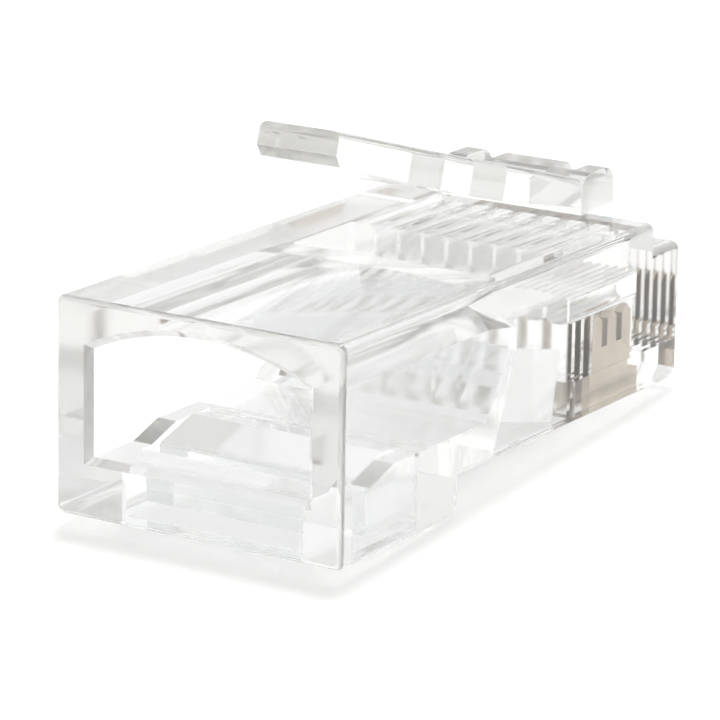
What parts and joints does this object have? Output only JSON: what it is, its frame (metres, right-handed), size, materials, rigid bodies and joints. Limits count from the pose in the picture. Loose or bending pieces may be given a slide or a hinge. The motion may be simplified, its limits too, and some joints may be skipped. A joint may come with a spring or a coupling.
{
  "type": "modular plug",
  "caption": "Clear modular data plug, uncrimped: arched cable cavity, sprung T-shaped latch, two strain relief bars and a comb of gold contact blades in the nose.",
  "frame": {"origin": "middle of the footprint, level with the underside of the thick cable end", "axes": "+X across the plug, +Y from the cable end to the nose, +Z from the contact side up to the latch"},
  "size_m": [0.0116, 0.0232, 0.0133],
  "materials": {
    "clear_body": "clear moulded polycarbonate, glossy",
    "clear_latch": "clear moulded polycarbonate, glossy",
    "clear_bar": "clear moulded polycarbonate, glossy",
    "gold": "gold plating over phosphor bronze, thin stamped edge"
  },
  "bodies": {
    "housing": {"housing": "clear_body"},
    "latch": {"latch": "clear_latch"},
    "jacket_bar": {"jacket_bar": "clear_bar"},
    "conductor_bar": {"conductor_bar": "clear_bar"},
    "contact_1": {"contact_1": "gold"},
    "contact_2": {"contact_2": "gold"},
    "contact_3": {"contact_3": "gold"},
    "contact_4": {"contact_4": "gold"},
    "contact_5": {"contact_5": "gold"},
    "contact_6": {"contact_6": "gold"},
    "contact_7": {"contact_7": "gold"},
    "contact_8": {"contact_8": "gold"}
  },
  "joints": [
    {"name": "latch_flex", "type": "hinge", "parent": "housing", "child": "latch", "pos_m": [0, 0.00914, 0.0081], "axis": [1, 0, 0], "range_deg": [0, 15], "stiffness_Nm_per_rad": 0.2},
    {"name": "jacket_bar_crimp", "type": "hinge", "parent": "housing", "child": "jacket_bar", "pos_m": [0, -0.00546, 0.00264], "axis": [-1, 0, 0], "range_deg": [0, 20]},
    {"name": "conductor_bar_crimp", "type": "hinge", "parent": "housing", "child": "conductor_bar", "pos_m": [0, 0.00096, 0.00484], "axis": [1, 0, 0], "range_deg": [0, 16]},
    {"name": "contact_1_crimp", "type": "slide", "parent": "housing", "child": "contact_1", "axis": [0, 0, 1], "range_m": [0, 0.0008]},
    {"name": "contact_2_crimp", "type": "slide", "parent": "housing", "child": "contact_2", "axis": [0, 0, 1], "range_m": [0, 0.0008]},
    {"name": "contact_3_crimp", "type": "slide", "parent": "housing", "child": "contact_3", "axis": [0, 0, 1], "range_m": [0, 0.0008]},
    {"name": "contact_4_crimp", "type": "slide", "parent": "housing", "child": "contact_4", "axis": [0, 0, 1], "range_m": [0, 0.0008]},
    {"name": "contact_5_crimp", "type": "slide", "parent": "housing", "child": "contact_5", "axis": [0, 0, 1], "range_m": [0, 0.0008]},
    {"name": "contact_6_crimp", "type": "slide", "parent": "housing", "child": "contact_6", "axis": [0, 0, 1], "range_m": [0, 0.0008]},
    {"name": "contact_7_crimp", "type": "slide", "parent": "housing", "child": "contact_7", "axis": [0, 0, 1], "range_m": [0, 0.0008]},
    {"name": "contact_8_crimp", "type": "slide", "parent": "housing", "child": "contact_8", "axis": [0, 0, 1], "range_m": [0, 0.0008]}
  ]
}
